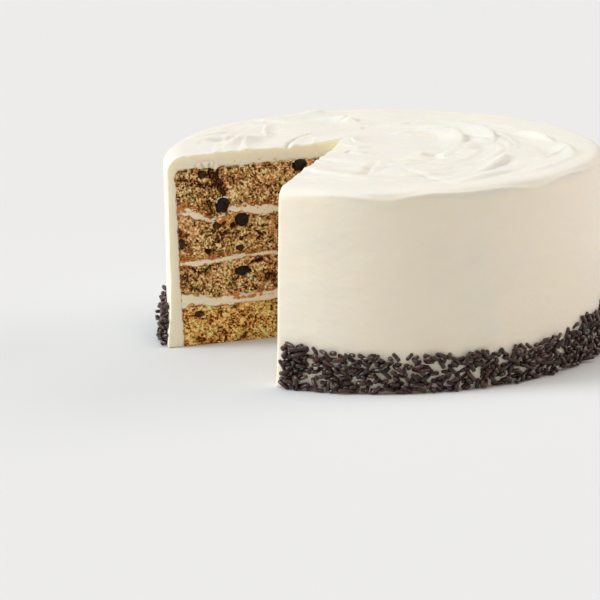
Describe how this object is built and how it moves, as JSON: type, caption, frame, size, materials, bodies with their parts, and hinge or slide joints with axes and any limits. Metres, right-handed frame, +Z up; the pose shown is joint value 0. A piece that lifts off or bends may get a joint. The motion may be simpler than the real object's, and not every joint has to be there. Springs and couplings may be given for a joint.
{
  "type": "carrot cake",
  "caption": "Round carrot cake with a slice cut out, showing sponge layers, cream fillings and raisins under cream frosting, with chocolate sprinkles round the foot.",
  "frame": {"origin": "on the cake's axis, at its flat base", "axes": "+Z up, -Y to the front; the missing slice opens between the -X side and the front"},
  "size_m": [0.2452, 0.2437, 0.1088],
  "materials": {
    "frosting": "smooth off-white cream cheese frosting, soft satin",
    "filling": "pale cream filling, slightly translucent",
    "crumb": "open golden-brown crumb with dark holes and orange carrot shreds",
    "sprinkles": "dark chocolate rods with a soft sheen",
    "raisin": "dark, moist and wrinkled",
    "carrot": "moist orange shreds"
  },
  "bodies": {
    "root": {"frosting": "frosting", "sponge_1": "crumb", "sponge_2": "crumb", "sponge_3": "crumb", "sponge_4": "crumb", "filling_1": "filling", "filling_2": "filling", "filling_3": "filling"}
  },
  "joints": []
}
